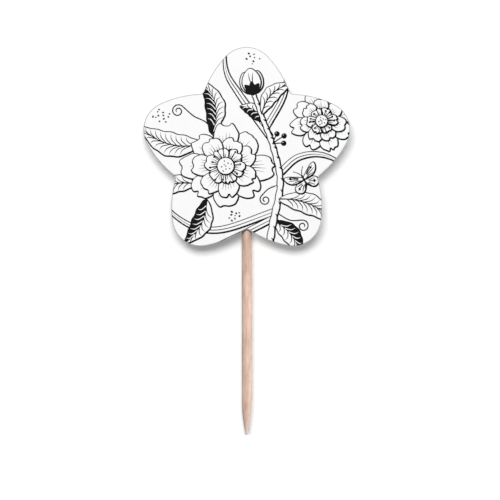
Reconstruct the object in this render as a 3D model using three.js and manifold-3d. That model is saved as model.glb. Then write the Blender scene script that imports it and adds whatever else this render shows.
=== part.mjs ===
// A cupcake pick: a five-petal card flower on a round wooden stick.
//
// The pick is laid out in the plane of its card: X runs to the right, Y up the stick from its point,
// and Z out of the printed face, counted from the middle of the stick. The last lines stand it up,
// so that the finished part has Z up and its printed face towards -Y. The origin is the stick's point.
// All sizes are in millimetres.

import * as THREE from 'three';
import { mergeVertices } from 'three/addons/utils/BufferGeometryUtils.js';
import Module from 'manifold-3d';

const wasm = await Module();
wasm.setup();

// The stick: a standard round pick, ground to a point at one end and cut square at the other.
const stickDiameter = 2.0;
const stickLength = 65;
const pointLength = 7.8;
const pointFullness = 0.45; // 0.5 is a parabola, and less is fuller and blunter
const topChamfer = 0.15;
const stickInCard = 23.7; // the length that lies between the two cards

// The flower: petals with a small round tip that flows into long round sides.
const petalCount = 5;
const petalReach = 21.45; // from the flower's centre to a petal's tip
const petalTipRadius = 5.75;
const petalTipTurn = THREE.MathUtils.degToRad(46.6); // how far the tip's arc turns to each side
const petalSideRadius = 20.8;
const notchRadius = 0.9; // the inside radius between two petals

// The two cards, and what joins them to each other and to the stick.
const cardThickness = 0.4;
const edgeRounding = 0.08; // the printed card's edges, pressed round by the cutting rule
const tapeThickness = 0.15;
const tapeMargin = 1.0; // from the card's edge to the tape
const glueFilm = 0.15; // glue between the stick and the printed card
const glueHalfWidth = 1.9;
const glueHeight = 0.9; // how far the glue climbs the stick's sides from the printed card
const glueMargin = 1.0; // from the notch to the glue, and from the glue to the stick's top

// The ridge: the back card's bulge over the stick.
const ridgeHalfWidth = 4.5;
const ridgeRunOut = 4.5; // the length over which the ridge fades above the stick

// Clearances between neighbours.
const stickToRidge = 0.05;
const stickToGlue = 0.05;
const stickToRunOut = 0.3;
const tapeToRidge = 0.4;

// How finely round forms are divided.
const tipArcSteps = 12;
const sideArcSteps = 6;
const notchArcSteps = 5;
const edgeSteps = 2;
const stickSides = 28;
const pointRings = 12;
const ridgeColumns = 20;
const runOutRows = 9;
const grooveSteps = 14;
const moundSteps = 6;

// Levels along Z.
const stickRadius = stickDiameter / 2;
const printedCardBack = stickRadius + glueFilm;
const backCardInside = printedCardBack - tapeThickness;
const ridgeRise = backCardInside + stickRadius + stickToRidge;

// Places along Y.
const petal = petalCentres();
const notchHeight = stickLength - stickInCard;
const flowerHeight = notchHeight + petal.notchReach;

const coatedCard = new THREE.MeshStandardMaterial({ color: 0xf7f7f5, roughness: 0.55, metalness: 0 });
const plainCard = new THREE.MeshStandardMaterial({ color: 0xf3f1eb, roughness: 0.8, metalness: 0 });
const paleWood = new THREE.MeshStandardMaterial({ color: 0xdcb89c, roughness: 0.75, metalness: 0 });
const tapeFilm = new THREE.MeshStandardMaterial({ color: 0xefe9d8, roughness: 0.5, metalness: 0 });
const hotMelt = new THREE.MeshStandardMaterial({ color: 0xf1ead6, roughness: 0.35, metalness: 0 });

// The centres of the three arcs that draw half a petal, with the petal's axis along the first
// coordinate. The tip's arc is centred on that axis, the side's arc runs on from it without a
// corner, and the notch's arc is centred on the line halfway to the next petal.
function petalCentres() {
  const tip = new THREE.Vector2(petalReach - petalTipRadius, 0);
  const toJoin = new THREE.Vector2(Math.cos(petalTipTurn), Math.sin(petalTipTurn));
  const side = tip.clone().addScaledVector(toJoin, petalTipRadius - petalSideRadius);
  const halfStep = Math.PI / petalCount;
  const halfway = new THREE.Vector2(Math.cos(halfStep), Math.sin(halfStep));
  const along = side.dot(halfway);
  const apart = petalSideRadius + notchRadius;
  const notchDistance = along + Math.sqrt(along ** 2 - side.lengthSq() + apart ** 2);
  const notch = halfway.multiplyScalar(notchDistance);
  return { tip, side, notch, halfStep, notchReach: notchDistance - notchRadius };
}

// Points along an arc, without its last point, where the next arc begins.
function arcPoints(centre, radius, from, to, steps) {
  const points = [];
  for (let i = 0; i < steps; i++) {
    const angle = from + ((to - from) * i) / steps;
    const spoke = new THREE.Vector2(Math.cos(angle), Math.sin(angle));
    points.push(centre.clone().addScaledVector(spoke, radius));
  }
  return points;
}

// The flower's outline about its own centre, drawn in by inset all round. Each arc keeps its centre.
function flowerOutline(inset) {
  const { tip, side, notch, halfStep } = petal;
  const lowerSide = new THREE.Vector2(side.x, -side.y);
  const tipRadius = petalTipRadius - inset;
  const sideRadius = petalSideRadius - inset;
  const sideEnd = notch.clone().sub(side).angle();
  const notchStart = sideEnd + Math.PI;
  const notchEnd = 2 * halfStep + 2 * Math.PI - notchStart;
  const outline = [];
  for (let i = 0; i < petalCount; i++) {
    const onePetal = [
      ...arcPoints(lowerSide, sideRadius, -sideEnd, -petalTipTurn, sideArcSteps),
      ...arcPoints(tip, tipRadius, -petalTipTurn, petalTipTurn, tipArcSteps),
      ...arcPoints(side, sideRadius, petalTipTurn, sideEnd, sideArcSteps),
      ...arcPoints(notch, notchRadius + inset, notchStart, notchEnd, notchArcSteps),
    ];
    const turn = Math.PI / 2 + (2 * Math.PI * i) / petalCount;
    for (const point of onePetal) {
      outline.push(point.rotateAround(new THREE.Vector2(), turn));
    }
  }
  return outline;
}

// A flat flower about its own centre, from Z = 0 up to its thickness.
function flowerPlate(inset, thickness, rounding = 0) {
  const geometry = new THREE.ExtrudeGeometry(new THREE.Shape(flowerOutline(inset)), {
    depth: thickness - 2 * rounding,
    bevelEnabled: rounding > 0,
    bevelThickness: rounding,
    bevelSize: rounding,
    bevelOffset: -rounding,
    bevelSegments: edgeSteps,
  });
  return geometry.translate(0, 0, rounding);
}

function toSolid(geometry) {
  const bare = geometry.clone();
  bare.deleteAttribute('normal');
  bare.deleteAttribute('uv');
  const merged = mergeVertices(bare, 1e-5);
  const vertProperties = merged.attributes.position.array;
  const triVerts = new Uint32Array(merged.index.array);
  return new wasm.Manifold(new wasm.Mesh({ numProp: 3, vertProperties, triVerts }));
}

function toGeometry(solid) {
  const mesh = solid.getMesh();
  const geometry = new THREE.BufferGeometry();
  geometry.setAttribute('position', new THREE.BufferAttribute(mesh.vertProperties, 3));
  geometry.setIndex(new THREE.BufferAttribute(mesh.triVerts, 1));
  geometry.computeVertexNormals();
  return geometry;
}

// How far the back card bulges away from its flat plane at (x, y) from the flower's centre: a bell
// across the stick, at full height beside it, that fades over the run-out above the stick's end.
function ridgeHeight(x, y) {
  const runOutStart = stickLength + stickToRunOut - flowerHeight;
  const across = THREE.MathUtils.clamp(x / ridgeHalfWidth, -1, 1);
  const along = THREE.MathUtils.clamp((y - runOutStart) / ridgeRunOut, 0, 1);
  return (ridgeRise * (1 + Math.cos(Math.PI * across)) * (1 + Math.cos(Math.PI * along))) / 4;
}

// The direction that points out of the back of the formed card at (x, y), square to its surface.
function outwardAt(x, y) {
  const step = 1e-4;
  const slopeX = (ridgeHeight(x + step, y) - ridgeHeight(x - step, y)) / (2 * step);
  const slopeY = (ridgeHeight(x, y + step) - ridgeHeight(x, y - step)) / (2 * step);
  return new THREE.Vector3(-slopeX, -slopeY, -1).normalize();
}

// A sheet of card pressed over the stick: a grid of points on its inside face, the same grid one
// card thickness further out, and a wall round the rim. It reaches past the flower on all sides.
function formedSheet() {
  const reach = petalReach + ridgeHalfWidth;
  const columns = [-reach];
  for (let i = 0; i <= ridgeColumns; i++) {
    columns.push(ridgeHalfWidth * ((2 * i) / ridgeColumns - 1));
  }
  columns.push(reach);
  const rows = [-reach];
  for (let j = 0; j <= runOutRows; j++) {
    rows.push(stickLength + stickToRunOut - flowerHeight + (ridgeRunOut * j) / runOutRows);
  }
  rows.push(reach);

  const positions = [];
  for (const offset of [0, cardThickness]) {
    for (const y of rows) {
      for (const x of columns) {
        const point = new THREE.Vector3(x, y, -ridgeHeight(x, y));
        positions.push(...point.addScaledVector(outwardAt(x, y), offset));
      }
    }
  }

  const wide = columns.length;
  const outer = wide * rows.length;
  const right = wide - 1;
  const top = outer - wide;
  const index = [];
  const quad = (a, b, c, d) => index.push(a, b, c, a, c, d);
  for (let row = 0; row < top; row += wide) {
    for (let a = row; a < row + right; a++) {
      quad(a, a + 1, a + wide + 1, a + wide);
      quad(outer + a, outer + a + wide, outer + a + wide + 1, outer + a + 1);
    }
    quad(row, row + wide, outer + row + wide, outer + row);
    quad(row + right, outer + row + right, outer + row + right + wide, row + right + wide);
  }
  for (let i = 0; i < right; i++) {
    quad(i, outer + i, outer + i + 1, i + 1);
    quad(top + i, top + i + 1, outer + top + i + 1, outer + top + i);
  }
  const geometry = new THREE.BufferGeometry();
  geometry.setAttribute('position', new THREE.Float32BufferAttribute(positions, 3));
  geometry.setIndex(index);
  return geometry;
}

// The blank back card: the formed sheet, cut to the same flower as the printed card.
function makeBackCard() {
  const depth = ridgeRise + 3 * cardThickness;
  const cutter = flowerPlate(0, depth).translate(0, 0, cardThickness - depth);
  return toGeometry(toSolid(formedSheet()).intersect(toSolid(cutter)));
}

// A sheet of double-sided tape, on the left (side = -1) or on the right (side = 1) of the ridge.
function makeTape(side) {
  const block = new THREE.BoxGeometry(petalReach, 2 * petalReach, 4 * tapeThickness);
  block.translate(side * (ridgeHalfWidth + tapeToRidge + petalReach / 2), 0, 0);
  return toGeometry(toSolid(flowerPlate(tapeMargin, tapeThickness)).intersect(toSolid(block)));
}

// The wooden pick, turned about its own axis.
function makeStick() {
  const profile = [];
  for (let i = 0; i <= pointRings; i++) {
    const share = (i / pointRings) ** 2;
    profile.push(new THREE.Vector2(stickRadius * share ** pointFullness, pointLength * share));
  }
  profile.push(new THREE.Vector2(stickRadius, stickLength - topChamfer));
  profile.push(new THREE.Vector2(stickRadius - topChamfer, stickLength));
  profile.push(new THREE.Vector2(0, stickLength));
  return new THREE.LatheGeometry(profile, stickSides);
}

// The line of hot-melt glue: a low mound on the back of the printed card, with a round groove that
// holds the stick. Its section is drawn across the stick and extruded along it.
function makeGlueBead() {
  const grooveRadius = stickRadius + stickToGlue;
  const level = printedCardBack - glueHeight;
  const grooveEnd = Math.asin(level / grooveRadius);
  const axis = new THREE.Vector2();
  const groove = arcPoints(axis, grooveRadius, Math.PI - grooveEnd, grooveEnd, grooveSteps);
  const section = new THREE.Shape();
  section.moveTo(-glueHalfWidth, printedCardBack);
  section.quadraticCurveTo(-glueHalfWidth, level, groove[0].x, level);
  for (const point of groove.slice(1)) {
    section.lineTo(point.x, point.y);
  }
  section.lineTo(-groove[0].x, level);
  section.quadraticCurveTo(glueHalfWidth, level, glueHalfWidth, printedCardBack);
  const length = stickInCard - 2 * glueMargin;
  const options = { depth: length, bevelEnabled: false, curveSegments: moundSteps };
  const geometry = new THREE.ExtrudeGeometry(section, options);
  return geometry.rotateX(Math.PI / 2).translate(0, length, 0);
}

function addPiece(group, name, geometry, material, y, z) {
  const mesh = new THREE.Mesh(geometry, material);
  mesh.name = name;
  mesh.position.set(0, y, z);
  group.add(mesh);
}

const frontCard = flowerPlate(0, cardThickness, edgeRounding);
const pick = new THREE.Group();
addPiece(pick, 'front_card', frontCard, coatedCard, flowerHeight, printedCardBack);
addPiece(pick, 'tape_left', makeTape(-1), tapeFilm, flowerHeight, backCardInside);
addPiece(pick, 'tape_right', makeTape(1), tapeFilm, flowerHeight, backCardInside);
addPiece(pick, 'back_card', makeBackCard(), plainCard, flowerHeight, backCardInside);
addPiece(pick, 'glue_bead', makeGlueBead(), hotMelt, notchHeight + glueMargin, 0);
addPiece(pick, 'stick', makeStick(), paleWood, 0, 0);
pick.rotation.x = Math.PI / 2;

export default pick;
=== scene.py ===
from math import atan2, cos, hypot, pi, radians, sin, sqrt
from random import Random

import bmesh
import bpy
import numpy
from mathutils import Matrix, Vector, noise
from mathutils.geometry import delaunay_2d_cdt


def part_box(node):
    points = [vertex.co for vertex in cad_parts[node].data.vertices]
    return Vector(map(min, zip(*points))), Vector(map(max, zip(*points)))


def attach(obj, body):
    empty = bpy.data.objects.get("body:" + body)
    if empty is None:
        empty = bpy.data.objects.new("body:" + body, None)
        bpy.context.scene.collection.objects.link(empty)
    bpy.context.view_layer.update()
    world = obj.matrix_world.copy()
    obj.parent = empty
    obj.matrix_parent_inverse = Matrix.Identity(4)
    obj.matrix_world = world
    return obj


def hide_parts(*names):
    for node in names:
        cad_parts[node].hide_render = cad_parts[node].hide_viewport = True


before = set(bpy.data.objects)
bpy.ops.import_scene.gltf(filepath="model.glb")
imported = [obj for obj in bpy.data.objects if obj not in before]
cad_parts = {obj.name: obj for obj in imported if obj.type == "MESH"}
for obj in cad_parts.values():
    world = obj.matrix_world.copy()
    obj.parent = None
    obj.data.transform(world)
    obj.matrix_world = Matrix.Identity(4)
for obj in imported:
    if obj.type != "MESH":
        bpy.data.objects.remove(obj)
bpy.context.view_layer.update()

# The printed card: a flower of five petals, die-cut from coated white board 0.4 mm thick.
# The cutting rule comes down on the printed side, so the front edge is pressed round, while the
# wall below it shows the board's bare fibres. The back of the card is stuck to the tape.
mm = 0.001
petal_count = 5
petal_reach = 21.45 * mm
petal_tip_radius = 5.75 * mm
petal_tip_turn = radians(46.6)
petal_side_radius = 20.8 * mm
notch_radius = 0.9 * mm
front_low, front_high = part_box("front_card")
board_thickness = front_high.y - front_low.y
flower_middle = front_high.z - petal_reach
pressed_edge = 0.2 * mm
fray_depth = 0.012 * mm
coat_white = (0.93, 0.93, 0.93, 1)
bare_board = (0.78, 0.765, 0.73, 1)
# The pressed rim's grey is partly the crushed coating and partly painted shade: a dark line round the
# card's edge.
crushed_coat_and_edge_shade = (0.60, 0.60, 0.60, 1)
card_width = front_high.x - front_low.x
bare_share = 0.8
fray_grain = 0.22 * mm
bend_steps = 4
card_crease = radians(38)
inside_corner = [(0.10 * mm, 0.0), (0.012 * mm, 0.0), (0.0, 0.03)]

tip_centre = Vector((petal_reach - petal_tip_radius, 0))
join_way = Vector((cos(petal_tip_turn), sin(petal_tip_turn)))
side_centre = tip_centre + (petal_tip_radius - petal_side_radius) * join_way
half_step = pi / petal_count
notch_way = Vector((cos(half_step), sin(half_step)))
side_along = side_centre.dot(notch_way)
side_to_notch = petal_side_radius + notch_radius
notch_distance = side_along + sqrt(side_along**2 - side_centre.length_squared + side_to_notch**2)
notch_centre = notch_distance * notch_way
side_turn = atan2(notch_centre.y - side_centre.y, notch_centre.x - side_centre.x)


def arc(centre, radius, start, stop, steps):
    """Points along an arc, without its last one, where the next arc begins."""
    turns = [start + (stop - start) * i / steps for i in range(steps)]
    return [Vector((centre[0] + radius * cos(a), centre[1] + radius * sin(a))) for a in turns]


def flower_outline(inset=0.0):
    """The cut line of the card about the flower's middle, drawn in by inset. Every arc keeps its centre."""
    petal = [
        *arc((side_centre.x, -side_centre.y), petal_side_radius - inset, -side_turn, -petal_tip_turn, 44),
        *arc(tip_centre, petal_tip_radius - inset, -petal_tip_turn, petal_tip_turn, 64),
        *arc(side_centre, petal_side_radius - inset, petal_tip_turn, side_turn, 44),
        *arc(notch_centre, notch_radius + inset, side_turn + pi, 2 * half_step + pi - side_turn, 14),
    ]
    outline = []
    for k in range(petal_count):
        turn = pi / 2 + 2 * half_step * k
        c, s = cos(turn), sin(turn)
        outline += [Vector((p.x * c - p.y * s, p.x * s + p.y * c)) for p in petal]
    return outline


def fill_in(rim, inner):
    """Triangles that fill a rim and use the inner points, as places in rim + inner."""
    points = rim + inner
    _, _, triangles, origins, _, _ = delaunay_2d_cdt(points, [], [range(len(rim))], 1, 1e-8)
    return [[origins[v][0] for v in triangle] for triangle in triangles]


def new_piece(name, mesh, crease=None):
    """A built mesh as a piece of the scene, smooth where it turns less than the crease."""
    bmesh.ops.recalc_face_normals(mesh, faces=mesh.faces)
    data = bpy.data.meshes.new(name)
    mesh.to_mesh(data)
    mesh.free()
    if crease:
        data.shade_smooth()
        data.set_sharp_from_angle(angle=crease)
    piece = bpy.data.objects.new(name, data)
    bpy.context.scene.collection.objects.link(piece)
    return piece


def card_mesh(name, wall, rim, place, inner):
    """A card cut to the flower. wall lists (inset, share of the thickness) from its inside face to its
    outside face, where the coating is crushed and painted grey with shade as far in as rim. place puts a
    point of the flower at a share of the thickness. inner lists further points of both faces."""
    mesh = bmesh.new()
    plain, drawn_in = flower_outline(), flower_outline(0.1 * mm)
    outward = [(a - b).normalized() for a, b in zip(plain, drawn_in)]
    rings = []
    for inset, share in wall:
        ring = []
        for point, out in zip(flower_outline(inset), outward):
            if 0.05 < share < bare_share:
                grain = Vector((point.x, share * board_thickness * 2, point.y)) / fray_grain
                point = point - out * fray_depth * (0.5 + 0.5 * noise.noise(grain))
            ring.append(mesh.verts.new(place(point.x, point.y, share)))
        rings.append(ring)
    for (inset, share), low, high in zip(wall[1:], rings, rings[1:]):
        for i in range(len(low)):
            face = mesh.faces.new((low[i - 1], low[i], high[i], high[i - 1]))
            face.material_index = 1 if share <= bare_share else 2 if inset <= rim else 0
    for ring, (inset, share) in ((rings[0], wall[0]), (rings[-1], wall[-1])):
        verts = ring + [mesh.verts.new(place(p.x, p.y, share)) for p in inner]
        for triangle in fill_in(flower_outline(inset), inner):
            mesh.faces.new([verts[i] for i in triangle])
    return new_piece(name, mesh, card_crease)


def new_finish(name, roughness):
    """A material with its shader, and the piece's own coordinates to lay patterns by."""
    material = bpy.data.materials.new(name)
    material.use_nodes = True
    nodes = material.node_tree.nodes
    shader = nodes["Principled BSDF"]
    shader.inputs["Roughness"].default_value = roughness
    return material, nodes, material.node_tree.links, shader, nodes.new("ShaderNodeTexCoord")


def stretched(nodes, links, coordinates, scale):
    """The piece's coordinates, counted in units of the given sizes along X, Y and Z."""
    mapping = nodes.new("ShaderNodeMapping")
    mapping.inputs["Scale"].default_value = [1 / s for s in scale]
    links.new(coordinates.outputs["Object"], mapping.inputs["Vector"])
    return mapping.outputs["Vector"]


def mottle(nodes, links, coordinates, sizes, detail=3.0, roughness=0.6):
    """Soft random patches of the given sizes along X, Y and Z."""
    vector = stretched(nodes, links, coordinates, sizes)
    texture = nodes.new("ShaderNodeTexNoise")
    texture.inputs["Scale"].default_value = 1.0
    texture.inputs["Detail"].default_value = detail
    texture.inputs["Roughness"].default_value = roughness
    links.new(vector, texture.inputs["Vector"])
    return texture.outputs["Fac"]


def shades(nodes, links, factor, stops):
    """Colours picked by a factor from (position, colour) stops."""
    ramp = nodes.new("ShaderNodeValToRGB")
    ramp.color_ramp.elements[0].position, ramp.color_ramp.elements[0].color = stops[0]
    ramp.color_ramp.elements[1].position, ramp.color_ramp.elements[1].color = stops[-1]
    for position, colour in stops[1:-1]:
        ramp.color_ramp.elements.new(position).color = colour
    links.new(factor, ramp.inputs["Fac"])
    return ramp.outputs["Color"]


def relief(nodes, links, height, depth, shader, under=None):
    """Fine relief of the given depth on a shader's surface, on top of another relief if there is one."""
    bump = nodes.new("ShaderNodeBump")
    bump.inputs["Distance"].default_value = depth
    links.new(height, bump.inputs["Height"])
    if under:
        links.new(under, bump.inputs["Normal"])
    links.new(bump.outputs["Normal"], shader.inputs["Normal"])
    return bump.outputs["Normal"]


def spread(nodes, links, factor, low, high, socket):
    """Lets a factor from 0 to 1 drive a socket from low to high."""
    reach = nodes.new("ShaderNodeMapRange")
    reach.inputs["To Min"].default_value = low
    reach.inputs["To Max"].default_value = high
    links.new(factor, reach.inputs["Value"])
    links.new(reach.outputs["Result"], socket)


def scaled(colour, share):
    """A colour at a share of its strength."""
    return [share * c for c in colour[:3]] + [1]


def coated_face():
    """Smooth coated board: a clean white with a faint cloudiness, and a satin surface."""
    material, nodes, links, shader, coordinates = new_finish("coated_white_card", 0.5)
    clouds = mottle(nodes, links, coordinates, [2.4 * mm] * 3)
    tones = [(0.3, scaled(coat_white, 0.985)), (0.7, coat_white)]
    links.new(shades(nodes, links, clouds, tones), shader.inputs["Base Color"])
    grain = mottle(nodes, links, coordinates, [0.09 * mm] * 3, detail=4)
    spread(nodes, links, grain, 0.44, 0.6, shader.inputs["Roughness"])
    relief(nodes, links, grain, 0.004 * mm, shader)
    shader.inputs["Specular IOR Level"].default_value = 0.4
    return material


def cut_edge(name, tone):
    """The cut edge of a board: felted fibre in thin layers."""
    material, nodes, links, shader, coordinates = new_finish(name, 0.9)
    layers = mottle(nodes, links, coordinates, [0.6 * mm, 0.05 * mm, 0.6 * mm])
    tones = [(0.25, scaled(tone, 0.82)), (0.75, tone)]
    links.new(shades(nodes, links, layers, tones), shader.inputs["Base Color"])
    fibres = mottle(nodes, links, coordinates, [0.05 * mm] * 3, detail=4)
    relief(nodes, links, fibres, 0.012 * mm, shader)
    shader.inputs["Specular IOR Level"].default_value = 0.15
    return material


def on_printed_card(x, z, share):
    """A point of the printed card, at (x, z) from the flower's middle."""
    return front_low.x + card_width / 2 + x, front_high.y - share * board_thickness, flower_middle + z


printed_wall = inside_corner + [(0.0, share) for share in (0.18, 0.34, 0.5, 0.66, bare_share)]
for k in range(1, bend_steps + 1):
    bend = pi / 2 * k / bend_steps
    printed_wall.append((pressed_edge * (1 - cos(bend)), bare_share + (1 - bare_share) * sin(bend)))
printed_wall.append((2 * pressed_edge, 1.0))
# The second edge finish is the crushed coating, painted darker as a shade line along the rim.
edge_finishes = [cut_edge("bare_cut_wall", bare_board), cut_edge("crushed_coating_and_edge_shade", crushed_coat_and_edge_shade)]
printed_card = card_mesh("printed_card", printed_wall, pressed_edge, on_printed_card, [])
for finish in (coated_face(), *edge_finishes):
    printed_card.data.materials.append(finish)
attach(printed_card, "root")
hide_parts("front_card")

# The print: black line work in one ink, a spray of garden flowers that runs off the cut edge.
# Each shape is laid over the one before: a pen line with blank paper inside it hides what is behind.
# Ink lies on the coated board as a film of about a hundredth of a millimetre.
ink_film = 0.012 * mm
pen_width = 0.26
stroke_width = 0.24
vein_width = 0.17
petal_waver = 0.08
finest_gap = 0.001
ink_black = (0.003, 0.003, 0.0035, 1)
hand = Random(7)
painted = []


def ink(shape):
    painted.append((shape, True))


def leave_white(shape):
    painted.append((shape, False))


def through(points, closed=False, steps=8):
    """A smooth line through a few points of the drawing, which is in millimetres."""
    count = len(points)
    line = []
    for i in range(count if closed else count - 1):
        if closed:
            before, here, there, after = (Vector(points[(i + k) % count]) for k in (-1, 0, 1, 2))
        else:
            here, there = Vector(points[i]), Vector(points[i + 1])
            before = Vector(points[i - 1]) if i else 2 * here - there
            after = Vector(points[i + 2]) if i + 2 < count else 2 * there - here
        for k in range(steps):
            t = k / steps
            bow = (2 * before - 5 * here + 4 * there - after) * t * t
            twist = (3 * here - before - 3 * there + after) * t**3
            line.append((2 * here + (there - before) * t + bow + twist) / 2)
    return line if closed else [*line, Vector(points[-1])]


def square_to(line, i, closed=False):
    """The direction to the left of a line at its point i."""
    after = line[(i + 1) % len(line)] if closed else line[min(i + 1, len(line) - 1)]
    before = line[i - 1] if closed else line[max(i - 1, 0)]
    way = (after - before).normalized()
    return Vector((-way.y, way.x))


def ribbon(line, half_width):
    """The outline of a line drawn with a changing width."""
    sides = [(square_to(line, i) * half_width(i / (len(line) - 1))) for i in range(len(line))]
    return [p + s for p, s in zip(line, sides)] + [p - s for p, s in reversed(list(zip(line, sides)))]


def brush(line, width, start=0.3, end=0.15):
    """A pen stroke that swells from start to full width and thins to end, as shares of its width."""
    def half_width(t):
        swell = min(1, start + (1 - start) * t / 0.25, end + (1 - end) * (1 - t) / 0.45)
        return swell * width / 2
    ink(ribbon(line, half_width))


def grown(shape, by):
    """A closed shape pushed out by a distance, more on the lower right, where the pen presses."""
    turns = sum(a.cross(b) for a, b in zip(shape, shape[1:] + shape[:1]))
    grown_shape = []
    for i, point in enumerate(shape):
        out = square_to(shape, i, closed=True) * (-1 if turns > 0 else 1)
        press = 1 + 0.4 * (0.6 * out.x - 0.8 * out.y)
        grown_shape.append(point + out * by * press)
    return grown_shape


def outlined(shape):
    """A closed shape in front of what was drawn before: a pen line round blank paper."""
    ink(grown(shape, pen_width / 2))
    leave_white(grown(shape, -pen_width / 2))


def placed(points, at, turn, size=1.0):
    """Points of a motif, in their own axes, put on the card."""
    c, s = cos(turn) * size, sin(turn) * size
    return [Vector((at[0] + x * c - y * s, at[1] + x * s + y * c)) for x, y in points]


def dot(at, size):
    """An ink dot, a little longer one way."""
    ring = arc((0, 0), size / 2, 0, 2 * pi, 10)
    long_way = 1 + 0.5 * hand.random()
    ink(placed([(x * long_way, y) for x, y in ring], at, pi * hand.random()))


def petal(at, turn, length, width, veins):
    """A broad petal with a wavy rim that dips in the middle, and fine veins."""
    def wavering():
        return 1 - petal_waver / 2 + petal_waver * hand.random()

    rim = [(0, -0.05), (0.38, -0.33), (0.70, -0.5), (0.90, -0.41), (0.985, -0.24), (0.99, -0.11)]
    rim += [(0.945, 0), (1, 0.11), (0.99, 0.25), (0.90, 0.42), (0.68, 0.51), (0.36, 0.32), (0, 0.05)]
    rim = [(x * length * wavering(), y * width * wavering()) for x, y in rim]
    outlined(placed(through(rim, closed=True, steps=6), at, turn))
    for k in range(veins):
        lean = (k + 0.5) / veins - 0.5
        far = length * (0.74 + 0.14 * hand.random()) * (1 - 0.32 * abs(lean))
        aside = width * lean
        vein = [(0.30 * length, 0.16 * aside), (0.62 * far, 0.40 * aside), (far, 0.72 * aside)]
        brush(placed(through(vein, steps=5), at, turn), vein_width, start=1)


def blossom(at, reach, turn):
    """Three rings of petals over each other, a round heart and stamens."""
    for ring in range(3):
        share = 1 - 0.27 * ring
        count = 8 - ring
        for k in range(count):
            way = turn + 0.4 * ring + 2 * pi * k / count + 0.12 * (hand.random() - 0.5)
            length = reach * share * (0.93 + 0.14 * hand.random()) * (1 - 0.12 * abs(sin(way)))
            petal(at, way, length, 4.4 * reach * share / count, 5 if ring < 2 else 4)
    heart = 0.19 * reach
    outlined(arc(at, heart, 0, 2 * pi, 20))
    for k in range(16):
        way = 2 * pi * k / 16 + 0.2 * hand.random()
        tip = heart * (1.55 + 0.5 * hand.random())
        brush(placed([(heart, 0), ((heart + tip) / 2, 0), (tip, 0)], at, way), vein_width, 1, 1)
        dot(placed([(tip, 0)], at, way)[0], 0.4)
    for k in range(9):
        dot(placed([(0.24 * heart * sqrt(k), 0)], at, 2.4 * k)[0], 0.25)


def leaf(base, tip, width, bend, dark=0):
    """A pointed leaf with a midrib and side veins. dark fills its left (1) or its right (-1) half."""
    way = Vector(tip) - Vector(base)
    length, turn = way.length, atan2(way.y, way.x)

    def rib(t, side=0.0):
        swell = width / 2 * sin(pi * t**0.85) ** 0.8 * (1 + 0.05 * sin(9 * pi * t))
        return t * length, bend * length * 4 * t * (1 - t) + side * swell

    steps = [i / 22 for i in range(23)]
    left, right = [rib(t, 1) for t in steps], [rib(t, -1) for t in steps]
    outlined(placed(left + right[-2:0:-1], base, turn))
    if dark:
        filled = left if dark > 0 else right
        ink(placed(filled + [rib(t) for t in steps[-2:0:-1]], base, turn))
    brush(placed([rib(t) for t in steps], base, turn), stroke_width, start=1, end=0.2)
    count = max(4, int(length / 1.4))
    for side in (1, -1):
        for k in range(count):
            t = 0.12 + 0.72 * (k + 0.3 * (side > 0)) / count
            start, stop = Vector(rib(t)), Vector(rib(min(0.97, t + 0.14), 0.86 * side))
            middle = (start + stop) / 2 + Vector((0.10 * width, -0.02 * side * width))
            vein = placed(through([start, middle, stop], steps=4), base, turn)
            brush(vein, vein_width, start=1)
            if side == dark:
                leave_white(painted.pop()[0])


def blade(points, width):
    """A long grass blade that narrows to its tip, with a fine line along it."""
    line = through(points, steps=10)
    outlined(ribbon(line, lambda t: width / 2 * (1 - 0.98 * t**2.2)))
    brush(line[: int(0.8 * len(line))], vein_width, 0.6, 0.1)


def branch(points, thick, thin):
    """A woody stem with short marks of bark along its lower side."""
    line = through(points, steps=10)

    def half(t):
        return (thick + (thin - thick) * t) / 2

    outlined(ribbon(line, lambda t: half(t) * (1 + 0.12 * sin(1.9 * t * len(line)))))
    for i in range(3, len(line) - 3, 3):
        out = square_to(line, i) * half(i / len(line))
        way = Vector((out.y, -out.x)).normalized()
        start, stop = line[i] - 0.85 * out, line[i] - 0.15 * out + 0.5 * way
        brush([start, (start + stop) / 2 + 0.08 * way, stop], stroke_width, 1, 0.2)


def bud(at, turn, length):
    """A closed bud: three petals wrapped over each other in a dark cup."""
    side = [(0, 0.2), (0.35, 0.4), (0.75, 0.3), (1, 0), (0.75, -0.3), (0.35, -0.4), (0, -0.2)]
    for lean, share in ((0.34, 0.9), (-0.34, 0.92), (0, 1)):
        outlined(through(placed(side, at, turn + lean, length * share), closed=True, steps=6))
    for lean in (-0.12, 0.1):
        fold = placed([(0.4, 0), (0.6, 0.02), (0.82, 0)], at, turn + lean, length)
        brush(through(fold, steps=5), vein_width, 1, 0.2)
    cup = [(-0.1, 0.11), (0.18, 0.15), (0.46, 0), (0.18, -0.15), (-0.1, -0.11)]
    for lean in (0.75, -0.75, 0):
        ink(through(placed(cup, at, turn + lean, length), closed=True, steps=5))


def berries(at, turn, count, size):
    """A spray of dark berries on thin stalks, each with a small light."""
    for k in range(count):
        way = turn + (k - (count - 1) / 2) * 0.55
        stalk = placed([(0, 0), (1.1, 0.1), (2.2 + 0.6 * (k % 2), 0)], at, way)
        brush(through(stalk, steps=4), stroke_width, 1, 0.8)
        ink(arc(stalk[-1], size / 2, 0, 2 * pi, 18))
        light = [(0.11 * x, 0.07 * y) for x, y in arc((0, 0), size, 0, 2 * pi, 8)]
        leave_white(placed(light, stalk[-1] + size * Vector((-0.17, 0.17)), 0.8))


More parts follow.
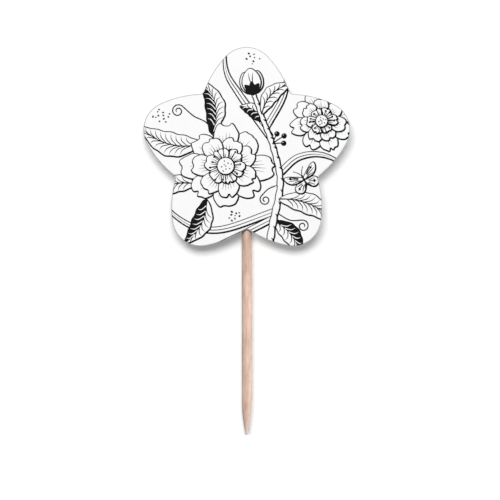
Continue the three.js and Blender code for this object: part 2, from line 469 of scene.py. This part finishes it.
def butterfly(at, turn, size):
    """Wings spread, a fore and a hind one on each side, each veined from the body and with one spot."""
    hind = [(0, 0.04), (-0.08, 0.5), (-0.26, 0.8), (-0.56, 0.84), (-0.8, 0.58), (-0.74, 0.3), (-0.4, 0.05)]
    fore = [(0.12, 0.04), (0.42, 0.48), (0.66, 0.9), (0.66, 1.14)]
    fore += [(0.4, 1.14), (0.1, 0.94), (-0.06, 0.6), (-0.06, 0.1)]
    for side in (1, -1):
        for wing in (hind, fore):
            rim = placed([(x, side * y) for x, y in wing], at, turn, size)
            outlined(through(rim, closed=True, steps=6))
            root = (rim[0] + rim[-1]) / 2
            for end in rim[2:-1]:
                vein = [root.lerp(end, share) for share in (0.25, 0.55, 0.84)]
                brush(through(vein, steps=3), vein_width, 1, 0.4)
            dot(root.lerp(rim[3], 0.66), 0.16 * size)
        feeler = placed([(0.28, side * 0.02), (0.52, side * 0.14), (0.74, side * 0.34)], at, turn, size)
        brush(through(feeler), vein_width, 1, 0.6)
        dot(feeler[-1], 0.24)
    body = [(0.34, 0), (0.27, 0.055), (0, 0.055), (-0.42, 0.035), (-0.5, 0)]
    body += [(x, -y) for x, y in body[-2:0:-1]]
    ink(through(placed(body, at, turn, size), closed=True, steps=4))


def tendril(points, curl, turns, side):
    """A climbing thread that ends in a spiral, to its left (1) or to its right (-1)."""
    line = through(points, steps=10)
    middle = line[-1] + side * curl * square_to(line, len(line) - 1)
    start = atan2(*(line[-1] - middle).yx)
    steps = int(26 * turns)
    for i in range(1, steps + 1):
        way = start + side * 2 * pi * turns * i / steps
        line.append(middle + curl * (1 - 0.78 * i / steps) * Vector((cos(way), sin(way))))
    for cut in range(0, len(line) - 2, 14):
        brush(line[cut : cut + 16], stroke_width, 1 if cut else 0.4, 0.4 if cut + 16 >= len(line) else 1)


def speckles(at, reach, count):
    """Loose ink dots round a point, thinly spread."""
    for k in range(count):
        way, far = 2.4 * k + 0.6 * hand.random(), reach * sqrt((k + 0.4) / count)
        dot((at[0] + far * cos(way), at[1] + 0.7 * far * sin(way)), 0.24 + 0.18 * hand.random())


def covered(spots, shape):
    """Which of the spots lie inside a closed shape, however often its line crosses itself."""
    x, z = spots.T
    turns = numpy.zeros(len(spots), int)
    for a, b in zip(shape, shape[1:] + shape[:1]):
        side = (b.x - a.x) * (z - a.y) - (x - a.x) * (b.y - a.y)
        turns += (a.y <= z) & (b.y > z) & (side > 0)
        turns -= (b.y <= z) & (a.y > z) & (side < 0)
    return turns != 0


def part_touching_areas(triangles, corners):
    """Where two inked areas meet in one corner only, each gets a corner of its own just inside it."""
    fans = {}
    for triangle in triangles:
        for v in triangle:
            fans.setdefault(v, []).append(triangle)
    for v, fan in fans.items():
        areas = []
        for triangle in fan:
            others = {u for u in triangle if u != v}
            joined = [area for area in areas if area & others]
            areas = [area for area in areas if not area & others] + [others.union(*joined)]
        for area in areas if len(areas) > 1 else []:
            inward = sum((corners[u] - corners[v] for u in sorted(area)), Vector((0, 0))).normalized()
            corners.append(corners[v] + finest_gap * inward)
            for triangle in fan:
                if area & set(triangle):
                    triangle[triangle.index(v)] = len(corners) - 1


def printed_film():
    """The ink that shows inside the cut line, as one thin closed film."""
    sheet = [p / mm for p in flower_outline(pressed_edge / 2)]
    points, lines = [], []
    for shape in [sheet, *(shape for shape, _ in painted)]:
        first, count = len(points), len(shape)
        lines += [(first + i, first + (i + 1) % count) for i in range(count)]
        points += shape
    corners, _, triangles, _, _, _ = delaunay_2d_cdt(points, lines, [], 0, finest_gap)
    flat = numpy.array([tuple(p) for p in corners])
    middles = flat[numpy.array(triangles)].mean(axis=1)
    inked = numpy.zeros(len(triangles), bool)
    for shape, dark in painted:
        limits = numpy.array([tuple(p) for p in shape])
        near = numpy.flatnonzero(numpy.all((middles > limits.min(0)) & (middles < limits.max(0)), axis=1))
        inked[near[covered(middles[near], shape)]] = dark
    inked &= covered(middles, sheet)
    shown = [list(triangle) for triangle, dark in zip(triangles, inked) if dark]
    part_touching_areas(shown, corners)
    used = sorted({v for triangle in shown for v in triangle})
    mesh = bmesh.new()
    under, over = {}, {}
    for v in used:
        place = Vector((mm * corners[v].x, front_low.y, flower_middle + mm * corners[v].y))
        under[v] = mesh.verts.new(place)
        over[v] = mesh.verts.new(place - Vector((0, ink_film, 0)))
    sides = {}
    for a, b, c in shown:
        mesh.faces.new((over[a], over[b], over[c]))
        mesh.faces.new((under[a], under[c], under[b]))
        sides.update({(a, b): None, (b, c): None, (c, a): None})
    for a, b in sides:
        if (b, a) not in sides:
            mesh.faces.new((over[b], over[a], under[a], under[b]))
    return new_piece("print_lines", mesh)


def black_ink():
    """Solid black ink, a little less glossy where it has sunk into the coating."""
    material, nodes, links, shader, coordinates = new_finish("black_print_ink", 0.4)
    grain = mottle(nodes, links, coordinates, [0.12 * mm] * 3, detail=4)
    tones = [(0.35, ink_black), (0.7, scaled(ink_black, 2.2))]
    links.new(shades(nodes, links, grain, tones), shader.inputs["Base Color"])
    spread(nodes, links, grain, 0.34, 0.55, shader.inputs["Roughness"])
    relief(nodes, links, grain, 0.002 * mm, shader)
    shader.inputs["Specular IOR Level"].default_value = 0.04
    return material


blade([(6.0, -11.4), (-6, -15.2), (-14, -12.6), (-21, -4)], 1.4)
blade([(5.9, -12.6), (-3, -17.0), (-10, -19.5), (-17, -17)], 1.3)
blade([(6.4, -4), (10.5, -0.6), (16, -0.4), (23, -4.5)], 1.4)
blade([(4.7, 3.4), (-1.5, 12), (-4.2, 17), (-4.2, 24)], 1.4)
blade([(4, 5.4), (7.5, 12), (7.8, 18), (5.5, 24)], 1.2)
tendril([(6.2, -6.2), (4.3, -7.0), (2.9, -8.4)], 1.1, 1.4, 1)
tendril([(-6.2, 2.2), (-7.8, 6.0), (-10.6, 7.6), (-12.9, 9.6)], 1.3, 1.5, 1)
tendril([(5.6, -11.5), (8.6, -13.2), (11.2, -13.2)], 1.2, 1.4, -1)
leaf((5.5, -13.4), (10.8, -20.4), 3.6, 0.12, dark=1)
leaf((3.4, 6.6), (-1.4, 9.6), 2.8, -0.14, dark=1)
branch([(4.0, -22), (5.2, -14), (6.7, -6), (5.4, 1), (3.2, 7), (1.3, 12.2)], 1.5, 0.8)
leaf((6.4, -9), (18.0, -14.0), 4.2, 0.12)
leaf((-9, 2), (-21.5, 5.6), 4.8, 0.14)
leaf((-7, 4), (-9.2, 15), 4.0, -0.16, dark=1)
leaf((-8, -9), (-12.5, -18.0), 4.0, 0.12, dark=-1)
leaf((-10, -6), (-19.5, -8.5), 3.6, -0.12)
leaf((3.0, 8), (9.3, 14.2), 3.2, 0.16)
bud((1.2, 12.4), pi / 2 + 0.12, 4.8)
berries((5.2, 2.0), 0.62, 3, 1.1)
blossom((15.0, 6.6), 6.6, 0.3)
blossom((-4.2, -2.4), 9.2, 0.0)
butterfly((11.4, -5.0), 2.1, 3.0)
speckles((-17.0, 7.6), 2.0, 12)
speckles((1.2, 19.2), 1.7, 8)
speckles((-2.6, -12.4), 1.5, 9)
print_lines = printed_film()
print_lines.data.materials.append(black_ink())
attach(print_lines, "root")

# The back card: a blank flower of the same board, formed over the stick before it is stuck down.
# It lies flat on the tape beside the stick, rises over the stick in a rounded ridge, and the ridge
# fades out above the stick's upper end.
back_low, back_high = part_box("back_card")
stick_low, stick_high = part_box("stick")
ridge_half_width = 4.5 * mm
ridge_run_out = 4.5 * mm
ridge_rise = back_high.y - board_thickness - back_low.y
run_out_start = stick_high.z + 0.3 * mm
# The back card's rim takes the same grey, partly crushed coating and partly painted shade.
crushed_and_shaded_rim = 0.02 * mm
grid_step = 0.28 * mm
rows_below = 70
rows_above = 80
petal_turn = radians(24)
petal_inner_reach = 16.8 * mm
blank_white = (0.865, 0.86, 0.84, 1)
unchanged = (1, 1, 1, 1)
cloud_tones = [(0.35, (0.955, 0.955, 0.95, 1)), (0.65, (1.02, 1.02, 1.02, 1))]
fleck_tones = [(0.70, unchanged), (0.76, (0.84, 0.81, 0.76, 1))]


def ridge_height(x, z):
    """How far the card is raised off its flat plane, at (x, z) from the flower's middle."""
    across = max(-1, min(1, x / ridge_half_width))
    along = max(0, min(1, (z + flower_middle - run_out_start) / ridge_run_out))
    return ridge_rise * (1 + cos(pi * across)) * (1 + cos(pi * along)) / 4


def on_back_card(x, z, share):
    """A point of the back card, at a share of its thickness square to the formed sheet."""
    step = 0.01 * mm
    slope_x = (ridge_height(x + step, z) - ridge_height(x - step, z)) / (2 * step)
    slope_z = (ridge_height(x, z + step) - ridge_height(x, z - step)) / (2 * step)
    outward = Vector((-slope_x, 1, -slope_z)).normalized()
    inside = Vector((x, back_low.y + ridge_height(x, z), flower_middle + z))
    return inside + outward * share * board_thickness


def tinted(nodes, links, colour, tone):
    """A colour multiplied by a tone."""
    mix = nodes.new("ShaderNodeMix")
    mix.data_type, mix.blend_type = "RGBA", "MULTIPLY"
    mix.inputs["Factor"].default_value = 1
    links.new(colour, mix.inputs["A"])
    links.new(tone, mix.inputs["B"])
    return mix.outputs["Result"]


def blank_face():
    """Uncoated board: matt, off-white and cloudy, with felted fibres and a few darker ones."""
    material, nodes, links, shader, coordinates = new_finish("blank_board", 0.8)
    felt = mottle(nodes, links, coordinates, [0.5 * mm] * 3, detail=6, roughness=0.7)
    colour = shades(nodes, links, felt, [(0.3, scaled(blank_white, 0.93)), (0.7, blank_white)])
    clouds = mottle(nodes, links, coordinates, [2.6 * mm] * 3, detail=2)
    cloud_tone = shades(nodes, links, clouds, cloud_tones)
    flecks = mottle(nodes, links, coordinates, [0.45 * mm, 0.45 * mm, 0.16 * mm], detail=1)
    fleck_tone = shades(nodes, links, flecks, fleck_tones)
    for tone in (cloud_tone, fleck_tone):
        colour = tinted(nodes, links, colour, tone)
    links.new(colour, shader.inputs["Base Color"])
    grain = mottle(nodes, links, coordinates, [0.12 * mm] * 3, detail=4)
    spread(nodes, links, grain, 0.72, 0.88, shader.inputs["Roughness"])
    laid = relief(nodes, links, felt, 0.03 * mm, shader)
    relief(nodes, links, grain, 0.012 * mm, shader, under=laid)
    shader.inputs["Specular IOR Level"].default_value = 0.25
    return material


def inside_flower(x, z):
    """Whether a point is well inside the cut line, by the line's reach in that direction."""
    from_petal = (atan2(z, x) - pi / 2 + half_step) % (2 * half_step) - half_step
    reach = notch_distance - notch_radius - 0.2 * mm
    if abs(from_petal) < petal_turn:
        reach = petal_inner_reach
    return hypot(x, z) < reach


ridge_grid = []
columns = int(ridge_half_width / grid_step) + 1
for i in range(-columns, columns + 1):
    for j in range(-rows_below, rows_above):
        x, z = i * grid_step, j * grid_step
        if inside_flower(x, z):
            ridge_grid.append(Vector((x, z)))
back_wall = inside_corner + [(0.0, share) for share in (0.2, 0.4, 0.6, 0.79, 0.9)]
back_wall += [(0.012 * mm, 0.97), (0.03 * mm, 1.0), (0.10 * mm, 1.0)]
back_card = card_mesh("back_card_blank", back_wall, crushed_and_shaded_rim, on_back_card, ridge_grid)
for finish in (blank_face(), *edge_finishes):
    back_card.data.materials.append(finish)
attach(back_card, "root")
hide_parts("back_card")

# The stick: a round wooden pick 2 mm thick, milled along the grain and ground to a point.
# The bare wood shows fine lengthwise fibres, a few darker pores and slightly uneven grinding.
stick_radius = (stick_high.x - stick_low.x) / 2
stick_length = stick_high.z - stick_low.z
point_length = 8.3 * mm
point_blunt = 0.07 * mm
point_drift = 0.12 * mm
tip_rounding = 4 * point_blunt
top_chamfer = 0.15 * mm
chamfer_ring = 0.07 * mm
fibre_depth = 0.022 * mm
coarse_fibres, coarse_length = 2.6, 6 * mm
fine_fibres, fine_length = 9, 2.2 * mm
stick_sides = 96
point_rings = 90
shank_rings = 300
stick_crease = radians(50)
wood_tones = [(0.2, (0.58, 0.385, 0.285, 1)), (0.45, (0.81, 0.565, 0.45, 1)), (0.8, (0.93, 0.72, 0.60, 1))]
fibre_tones = [(0.3, (0.88, 0.86, 0.85, 1)), (0.65, unchanged)]
patch_tones = [(0.36, (0.84, 0.80, 0.77, 1)), (0.62, (1.07, 1.07, 1.07, 1))]
ground_tones = [(0, (1.03, 1.10, 1.18, 1)), (0.75, unchanged)]
# Painted shade and painted light across the stick: its colour is darker on the left side and a little paler
# on the right.
side_shade_tones = [
    (0, (0.88, 0.90, 0.95, 1)),
    (0.2, (0.85, 0.865, 0.91, 1)),
    (0.46, unchanged),
    (0.65, unchanged),
    (0.95, (0.96, 1.02, 1.07, 1)),
]
pore_limits = [(0.68, (0, 0, 0, 1)), (0.76, (1, 1, 1, 1))]
pore_brown = (0.36, 0.21, 0.13, 1)


def stick_girth(height):
    """The stick's radius at a height above its point, whose very end is rounded."""
    if height < point_length:
        ground = point_blunt + (stick_radius - point_blunt) * (1 - (1 - height / point_length) ** 2)
        return min(ground, sqrt(2 * tip_rounding * height))
    return stick_radius - max(0, height - (stick_length - top_chamfer))


def turned_stick():
    """The stick in rings from its point to its upper end, with worn fibres and a point off its middle."""
    heights = [point_length * (i / point_rings) ** 2 for i in range(1, point_rings + 1)]
    shank = stick_length - top_chamfer - point_length
    heights += [point_length + shank * i / shank_rings for i in range(1, shank_rings + 1)]
    heights += [stick_length - chamfer_ring, stick_length]
    mesh = bmesh.new()
    rings = []
    for height in heights:
        ring = []
        drift = -point_drift * max(0, 1 - (height / point_length) ** 2)
        for k in range(stick_sides):
            way = 2 * pi * k / stick_sides
            coarse = Vector((coarse_fibres * cos(way), coarse_fibres * sin(way), height / coarse_length))
            fine = Vector((fine_fibres * cos(way), fine_fibres * sin(way), height / fine_length))
            worn = 0.5 - 0.35 * noise.noise(coarse) - 0.15 * noise.noise(fine)
            radius = stick_girth(height) - fibre_depth * worn * min(1, height / mm)
            place = Vector((drift + radius * cos(way), radius * sin(way), stick_low.z + height))
            ring.append(mesh.verts.new(place))
        rings.append(ring)
    tip = mesh.verts.new((-point_drift, 0, stick_low.z))
    top = mesh.verts.new((0, 0, stick_high.z))
    for k in range(stick_sides):
        mesh.faces.new((tip, rings[0][k], rings[0][k - 1]))
        mesh.faces.new((top, rings[-1][k - 1], rings[-1][k]))
        for low, high in zip(rings, rings[1:]):
            mesh.faces.new((low[k - 1], low[k], high[k], high[k - 1]))
    return new_piece("wooden_stick", mesh, stick_crease)


def pale_wood():
    """Pale close-grained wood: long soft streaks, fine fibres and short dark pores, all lengthwise. Painted
    shade darkens its left side, painted light makes its right side paler, and the ground point is a little
    paler."""
    material, nodes, links, shader, coordinates = new_finish("pale_wood", 0.7)
    streaks = mottle(nodes, links, coordinates, [0.5 * mm, 0.5 * mm, 9 * mm], detail=4)
    colour = shades(nodes, links, streaks, wood_tones)
    fibres = mottle(nodes, links, coordinates, [0.09 * mm, 0.09 * mm, 3 * mm])
    fibre_tone = shades(nodes, links, fibres, fibre_tones)
    patches = mottle(nodes, links, coordinates, [1.3 * mm, 1.3 * mm, 4.5 * mm])
    patch_tone = shades(nodes, links, patches, patch_tones)
    pores = mottle(nodes, links, coordinates, [0.07 * mm, 0.07 * mm, 0.9 * mm], detail=1)
    pore_mask = shades(nodes, links, pores, pore_limits)
    place = nodes.new("ShaderNodeSeparateXYZ")
    links.new(stretched(nodes, links, coordinates, [1, 1, point_length]), place.inputs["Vector"])
    ground_tone = shades(nodes, links, place.outputs["Z"], ground_tones)
    # Painted side shade: tones the wood by where it lies across the stick, darker to the left and paler to
    # the right.
    across = nodes.new("ShaderNodeMapRange")
    across.inputs["From Min"].default_value = -stick_radius
    across.inputs["From Max"].default_value = stick_radius
    links.new(place.outputs["X"], across.inputs["Value"])
    side_shade_tone = shades(nodes, links, across.outputs["Result"], side_shade_tones)
    for tone in (fibre_tone, patch_tone, ground_tone, side_shade_tone):
        colour = tinted(nodes, links, colour, tone)
    pored = nodes.new("ShaderNodeMix")
    pored.data_type = "RGBA"
    links.new(pore_mask, pored.inputs["Factor"])
    links.new(colour, pored.inputs["A"])
    pored.inputs["B"].default_value = pore_brown
    links.new(pored.outputs["Result"], shader.inputs["Base Color"])
    spread(nodes, links, fibres, 0.6, 0.82, shader.inputs["Roughness"])
    relief(nodes, links, fibres, 0.02 * mm, shader)
    shader.inputs["Specular IOR Level"].default_value = 0.3
    return material


wooden_stick = turned_stick()
wooden_stick.data.materials.append(pale_wood())
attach(wooden_stick, "root")
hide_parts("stick")

# The tape and the glue lie between the two cards, and only their edges can be seen from the side.
# The tape is double-sided tissue tape, cut 1 mm inside the cards. The glue is a line of hot melt,
# pressed flat on the printed card's back, that holds the stick.
tape_tones = [(0.35, (0.70, 0.66, 0.56, 1)), (0.65, (0.84, 0.81, 0.73, 1))]
glue_tones = [(0.35, (0.76, 0.70, 0.55, 1)), (0.65, (0.86, 0.82, 0.70, 1))]


def tissue_tape():
    """Double-sided tissue tape: a milky adhesive with wisps of tissue in it."""
    material, nodes, links, shader, coordinates = new_finish("tissue_tape", 0.5)
    wisps = mottle(nodes, links, coordinates, [0.25 * mm] * 3, detail=6)
    links.new(shades(nodes, links, wisps, tape_tones), shader.inputs["Base Color"])
    relief(nodes, links, wisps, 0.01 * mm, shader)
    return material


def hot_melt():
    """Set hot-melt glue: milky, waxy and smooth, with slow ripples from the nozzle."""
    material, nodes, links, shader, coordinates = new_finish("hot_melt_glue", 0.32)
    ripples = mottle(nodes, links, coordinates, [1.2 * mm, 1.2 * mm, 0.8 * mm], detail=2)
    links.new(shades(nodes, links, ripples, glue_tones), shader.inputs["Base Color"])
    relief(nodes, links, ripples, 0.08 * mm, shader)
    shader.inputs["Subsurface Weight"].default_value = 0.3
    shader.inputs["Subsurface Radius"].default_value = (0.6 * mm, 0.5 * mm, 0.35 * mm)
    return material


tape_finish = tissue_tape()
for node, finish in (("tape_left", tape_finish), ("tape_right", tape_finish), ("glue_bead", hot_melt())):
    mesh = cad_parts[node].data
    mesh.materials.clear()
    mesh.materials.append(finish)

# The stage: a plain white wall just behind the pick and a plain white floor under its point.
# Both keep the pick's shadow and show white to the camera. The wall shows only from its front, so
# that the back of the pick can be looked at too.
wall_gap = 0.05 * mm
wall_y = back_high.y + wall_gap
stage_reach = 0.2
stage_white = 0.87
wall_glow = 0.20
floor_glow = 0.27


def seen_by_camera(nodes, links):
    """1 on the camera's own rays, and on those that it gets by gloss or through glass."""
    path = nodes.new("ShaderNodeLightPath")
    seen = path.outputs["Is Camera Ray"]
    for kind in ("Is Glossy Ray", "Is Transmission Ray"):
        either = nodes.new("ShaderNodeMath")
        either.operation = "MAXIMUM"
        links.new(seen, either.inputs[0])
        links.new(path.outputs[kind], either.inputs[1])
        seen = either.outputs["Value"]
    return seen


def white_stage(name, level, one_sided):
    """A matt white that keeps shadows, and glows so that the camera sees it as white."""
    material = bpy.data.materials.new(name)
    material.use_nodes = True
    nodes, links = material.node_tree.nodes, material.node_tree.links
    nodes.clear()
    matt = nodes.new("ShaderNodeBsdfDiffuse")
    matt.inputs["Color"].default_value = (stage_white, stage_white, stage_white, 1)
    glow = nodes.new("ShaderNodeEmission")
    strength = nodes.new("ShaderNodeMath")
    strength.operation = "MULTIPLY"
    strength.inputs[1].default_value = level
    links.new(seen_by_camera(nodes, links), strength.inputs[0])
    links.new(strength.outputs["Value"], glow.inputs["Strength"])
    both = nodes.new("ShaderNodeAddShader")
    links.new(matt.outputs["BSDF"], both.inputs[0])
    links.new(glow.outputs["Emission"], both.inputs[1])
    surface = both.outputs["Shader"]
    if one_sided:
        geometry = nodes.new("ShaderNodeNewGeometry")
        clear = nodes.new("ShaderNodeBsdfTransparent")
        front_only = nodes.new("ShaderNodeMixShader")
        links.new(geometry.outputs["Backfacing"], front_only.inputs["Fac"])
        links.new(surface, front_only.inputs[1])
        links.new(clear.outputs["BSDF"], front_only.inputs[2])
        surface = front_only.outputs["Shader"]
    output = nodes.new("ShaderNodeOutputMaterial")
    links.new(surface, output.inputs["Surface"])
    return material


def stage_plane(name, corners, material):
    """A flat sheet of the stage, which casts no shadow and no light on the pick."""
    data = bpy.data.meshes.new(name)
    data.from_pydata(corners, [], [(0, 1, 2, 3)])
    data.materials.append(material)
    plane = bpy.data.objects.new(name, data)
    bpy.context.scene.collection.objects.link(plane)
    plane.visible_diffuse = False
    plane.visible_shadow = False


def across(y, z):
    """The two ends of a line from the left of the stage to its right."""
    return [(-stage_reach, y, z), (stage_reach, y, z)]


wall_corners = across(wall_y, 0) + across(wall_y, stage_reach)[::-1]
floor_corners = across(-stage_reach, 0) + across(stage_reach, 0)[::-1]
stage_plane("white_wall", wall_corners, white_stage("white_wall", wall_glow, one_sided=True))
stage_plane("white_floor", floor_corners, white_stage("white_floor", floor_glow, one_sided=False))

# The light: a large soft lamp in front, a little above and to the left, throws the card's shadow
# down the wall. One at the right models the stick. One from behind lights the blank back, and its
# light stops there, so that it doesn't wash out the shadow in front.
aim = Vector((0, 0, 45 * mm))
fill_level = 0.13


def soft_lamp(name, azimuth, elevation, distance, size, level):
    """A soft lamp that lights what faces it to a level, where 1 shows a colour as it is written."""
    data = bpy.data.lights.new(name, "AREA")
    data.shape = "RECTANGLE"
    data.size, data.size_y = size
    data.energy = level * pi * pi * distance**2
    lamp = bpy.data.objects.new(name, data)
    bpy.context.scene.collection.objects.link(lamp)
    a, e = radians(azimuth), radians(elevation)
    back = Vector((sin(a) * cos(e), -cos(a) * cos(e), sin(e)))
    lamp.location = aim + distance * back
    lamp.rotation_mode = "QUATERNION"
    lamp.rotation_quaternion = back.to_track_quat("Z", "Y")
    return lamp


soft_lamp("key_lamp", -8, 26, 1.5, (1.15, 0.7), 1.06)
soft_lamp("right_lamp", 92, 10, 1.2, (0.5, 0.8), 0.80)
rear_lamp = soft_lamp("rear_lamp", 190, 22, 1.2, (0.6, 0.6), 0.88)
rear_lamp.data.cycles.max_bounces = 0

world = bpy.data.worlds.new("studio_fill")
bpy.context.scene.world = world
world.use_nodes = True
world_nodes, world_links = world.node_tree.nodes, world.node_tree.links
world_nodes.clear()
choose = world_nodes.new("ShaderNodeMixShader")
world_links.new(seen_by_camera(world_nodes, world_links), choose.inputs["Fac"])
for place, level in ((1, fill_level), (2, 1)):
    background = world_nodes.new("ShaderNodeBackground")
    background.inputs["Color"].default_value = (1, 1, 1, 1)
    background.inputs["Strength"].default_value = level
    world_links.new(background.outputs["Background"], choose.inputs[place])
sky = world_nodes.new("ShaderNodeOutputWorld")
world_links.new(choose.outputs["Shader"], sky.inputs["Surface"])

# The camera looks square at the printed face through a long lens. The picture is 100 mm wide at the
# card, and the card's middle and the stick's point stand where they do in the photograph.
picture_width = 100 * mm
picture_middle = Vector((0.65 * mm, front_low.y, 37.2 * mm))
film_width = 36
lens_length = 200
camera_distance = picture_width * lens_length / film_width
camera_data = bpy.data.cameras.new("camera")
camera_data.sensor_width = film_width
camera_data.lens = lens_length
camera_data.clip_start, camera_data.clip_end = 0.01, 20
camera = bpy.data.objects.new("camera", camera_data)
bpy.context.scene.collection.objects.link(camera)
camera.location = picture_middle - Vector((0, camera_distance, 0))
camera.rotation_euler = (pi / 2, 0, 0)
bpy.context.scene.camera = camera
bpy.context.scene.view_settings.view_transform = "Standard"
